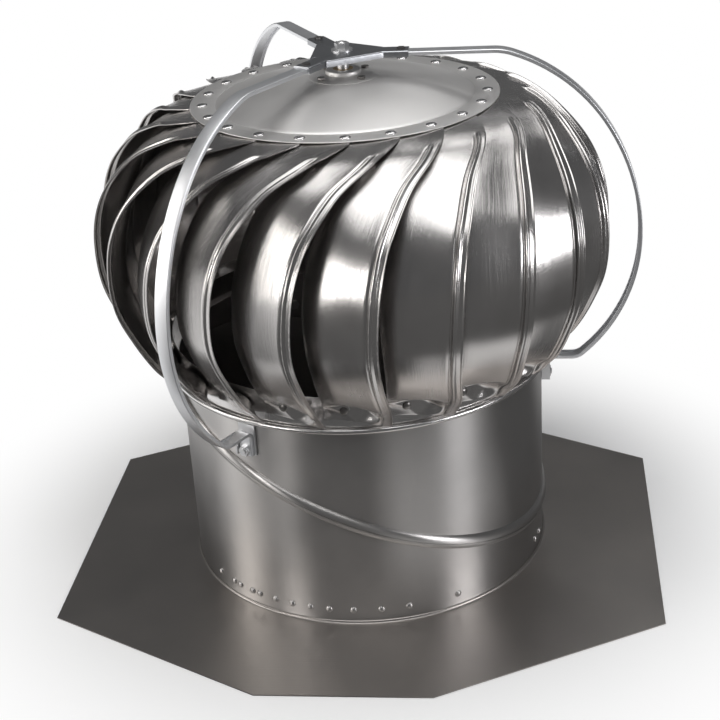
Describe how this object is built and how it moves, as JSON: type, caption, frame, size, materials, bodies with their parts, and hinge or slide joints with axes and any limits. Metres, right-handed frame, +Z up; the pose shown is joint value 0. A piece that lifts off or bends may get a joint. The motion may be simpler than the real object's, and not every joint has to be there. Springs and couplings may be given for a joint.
{
  "type": "roof turbine ventilator",
  "caption": "Wind-driven roof turbine ventilator: scooped sheet-metal rotor under a domed cap, external strap braces, two-piece throat with a tilted swivel seam, flat roof flashing.",
  "frame": {"origin": "on the throat's axis at the underside of the roof flashing", "axes": "+Z up along the throat and rotor axis, -Y towards the flashing's long front edge, +X to the right seen from the front"},
  "size_m": [0.496, 0.461, 0.4372],
  "materials": {
    "flashing_sheet": "weathered mill finish, matte warm grey",
    "throat_sheet": "satin mill finish with faint upright streaks",
    "cap_sheet": "satin",
    "ring_sheet": "semi bright, rolled lip polished",
    "vane_sheet": "bright mill finish with soft brushed grain",
    "strap_steel": "zinc plated, satin",
    "zinc_fasteners": "bright zinc",
    "rivet_metal": "bright",
    "hub_casting": "die cast, matte",
    "bush_bronze": "sintered bronze, dull"
  },
  "bodies": {
    "base": {"roof_flashing": "flashing_sheet", "lower_throat": "throat_sheet"},
    "head_frame": {"upper_throat": "throat_sheet", "brace_bracket_1": "strap_steel", "brace_bracket_2": "strap_steel", "brace_bracket_3": "strap_steel", "brace_1": "strap_steel", "brace_2": "strap_steel", "brace_3": "strap_steel", "brace_spider": "strap_steel", "spider_rivets": "rivet_metal", "foot_bolts": "zinc_fasteners", "foot_nuts": "zinc_fasteners", "rotor_shaft": "zinc_fasteners", "spider_washer": "zinc_fasteners", "spider_nut": "zinc_fasteners", "thrust_collar": "zinc_fasteners"},
    "rotor": {"top_cap": "cap_sheet", "hub_housing": "hub_casting", "upper_bush": "bush_bronze", "lower_bush": "bush_bronze", "hub_rivets": "rivet_metal", "cap_rivets": "rivet_metal", "bottom_ring": "ring_sheet", "ring_rivets": "rivet_metal", "vane_01": "vane_sheet", "vane_02": "vane_sheet", "vane_03": "vane_sheet", "vane_04": "vane_sheet", "vane_05": "vane_sheet", "vane_06": "vane_sheet", "vane_07": "vane_sheet", "vane_08": "vane_sheet", "vane_09": "vane_sheet", "vane_10": "vane_sheet", "vane_11": "vane_sheet", "vane_12": "vane_sheet", "vane_13": "vane_sheet", "vane_14": "vane_sheet", "vane_15": "vane_sheet", "vane_16": "vane_sheet", "vane_17": "vane_sheet", "vane_18": "vane_sheet", "vane_19": "vane_sheet", "vane_20": "vane_sheet", "vane_21": "vane_sheet"}
  },
  "joints": [
    {"name": "pitch_swivel", "type": "hinge", "parent": "base", "child": "head_frame", "pos_m": [0, 0, 0.10497], "axis": [0.378, -0.0599, 0.9239], "range_deg": [0, 180]},
    {"name": "rotor_spin", "type": "hinge", "parent": "head_frame", "child": "rotor", "pos_m": [0, 0, 0.38], "axis": [0, 0, 1], "continuous": true}
  ]
}
